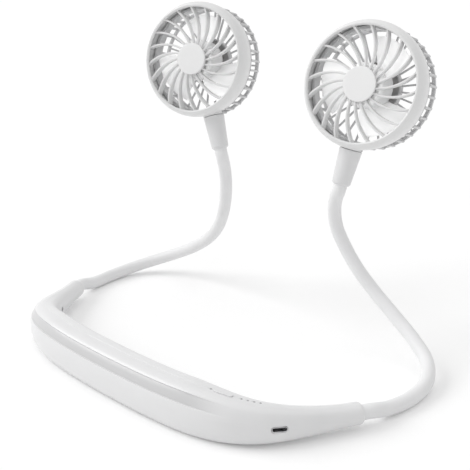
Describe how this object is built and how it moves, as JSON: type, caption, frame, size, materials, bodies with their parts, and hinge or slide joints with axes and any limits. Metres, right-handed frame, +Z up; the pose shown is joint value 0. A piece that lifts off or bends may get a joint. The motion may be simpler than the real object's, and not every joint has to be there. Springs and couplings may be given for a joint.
{
  "type": "neck fan",
  "caption": "Hands-free neck fan: a U-shaped battery collar with two bendable hose arms, each with a swivelling caged fan head.",
  "frame": {"origin": "on the floor, at the middle of the bounding box", "axes": "+X from the wearer's left arm of the U to the right one in the view from the front, +Y away from the collar's bar towards its open side, +Z up; the fan heads look towards -Y"},
  "size_m": [0.2882, 0.2028, 0.2191],
  "materials": {
    "white_plastic": "satin",
    "white_barrel": "satin",
    "white_silicone": "matt",
    "light_grey_plastic": "satin",
    "steel": "brushed",
    "core_steel": "plain",
    "motor_steel": "plain",
    "copper": "enamelled wire",
    "bronze": "sintered",
    "board": "solder mask",
    "cell_wrap": "wrapped",
    "black_plastic": "matt",
    "lead_sleeve": "matt",
    "led": "plain",
    "lens": "clear grey"
  },
  "bodies": {
    "collar": {"collar_outer_shell": "white_plastic", "collar_inner_shell": "white_plastic", "collar_screws": "steel", "battery_cells": "cell_wrap", "battery_leads": "lead_sleeve", "control_board": "board", "charging_board": "board", "board_screws": "steel", "usb_socket_shell": "steel", "usb_socket_tongue": "black_plastic", "tactile_switch": "black_plastic", "status_lights": "led", "indicator_lenses": "lens", "core_anchors": "steel", "right_hose_root": "white_silicone", "right_core_root": "core_steel", "right_hose_lower_bend": "white_silicone", "right_core_lower_bend": "core_steel", "left_hose_root": "white_silicone", "left_core_root": "core_steel", "left_hose_lower_bend": "white_silicone", "left_core_lower_bend": "core_steel"},
    "button": {"power_button": "white_plastic"},
    "right_arm": {"right_hose_middle": "white_silicone", "right_core_middle": "core_steel", "right_hose_upper_bend": "white_silicone", "right_core_upper_bend": "core_steel"},
    "right_neck": {"right_hose_top": "white_silicone", "right_core_top": "core_steel", "right_barrel": "white_barrel"},
    "right_head": {"right_front_grille": "white_plastic", "right_hub_cap": "light_grey_plastic", "right_rear_cage": "white_plastic", "right_bearing_sleeve": "bronze", "right_motor_stator": "motor_steel", "right_motor_windings": "copper", "right_swivel_pin": "steel", "right_swivel_clip": "steel"},
    "right_rotor": {"right_impeller": "white_plastic", "right_rotor_ring": "motor_steel", "right_motor_shaft": "steel"},
    "left_arm": {"left_hose_middle": "white_silicone", "left_core_middle": "core_steel", "left_hose_upper_bend": "white_silicone", "left_core_upper_bend": "core_steel"},
    "left_neck": {"left_hose_top": "white_silicone", "left_core_top": "core_steel", "left_barrel": "white_barrel"},
    "left_head": {"left_front_grille": "white_plastic", "left_hub_cap": "light_grey_plastic", "left_rear_cage": "white_plastic", "left_bearing_sleeve": "bronze", "left_motor_stator": "motor_steel", "left_motor_windings": "copper", "left_swivel_pin": "steel", "left_swivel_clip": "steel"},
    "left_rotor": {"left_impeller": "white_plastic", "left_rotor_ring": "motor_steel", "left_motor_shaft": "steel"}
  },
  "joints": [
    {"name": "button_press", "type": "slide", "parent": "collar", "child": "button", "axis": [-0.1273, -0.0488, -0.9907], "range_m": [0, 0.0003], "stiffness_N_per_m": 3000, "springref_m": -0.0002},
    {"name": "right_lower_flex", "type": "hinge", "parent": "collar", "child": "right_arm", "pos_m": [0.10325, 0.06717, 0.02211], "axis": [0, 1, 0], "range_deg": [-15, 30], "deforming": ["right_hose_lower_bend", "right_core_lower_bend"]},
    {"name": "right_upper_flex", "type": "hinge", "parent": "right_arm", "child": "right_neck", "pos_m": [0.04868, 0.06073, 0.09059], "axis": [1, 0, 0], "range_deg": [-25, 25], "deforming": ["right_hose_upper_bend", "right_core_upper_bend"]},
    {"name": "right_head_swivel", "type": "hinge", "parent": "right_neck", "child": "right_head", "pos_m": [0.05404, 0.05874, 0.11071], "axis": [0.1007, 0.2672, 0.9584], "range_deg": [-98.5, 81.5]},
    {"name": "right_impeller_spin", "type": "hinge", "parent": "right_head", "child": "right_rotor", "pos_m": [0.06056, 0.07603, 0.17272], "axis": [0.1746, -0.953, 0.2474], "continuous": true},
    {"name": "left_lower_flex", "type": "hinge", "parent": "collar", "child": "left_arm", "pos_m": [-0.10325, 0.06717, 0.02211], "axis": [0, 1, 0], "range_deg": [-30, 15], "deforming": ["left_hose_lower_bend", "left_core_lower_bend"]},
    {"name": "left_upper_flex", "type": "hinge", "parent": "left_arm", "child": "left_neck", "pos_m": [-0.05049, 0.06092, 0.09302], "axis": [1, 0, 0], "range_deg": [-25, 25], "deforming": ["left_hose_upper_bend", "left_core_upper_bend"]},
    {"name": "left_head_swivel", "type": "hinge", "parent": "left_neck", "child": "left_head", "pos_m": [-0.0504, 0.05523, 0.11781], "axis": [-0.3726, 0.1045, 0.9221], "range_deg": [-108.5, 71.5]},
    {"name": "left_impeller_spin", "type": "hinge", "parent": "left_head", "child": "left_rotor", "pos_m": [-0.0745, 0.06199, 0.17747], "axis": [0.2571, -0.9431, 0.2108], "continuous": true}
  ]
}
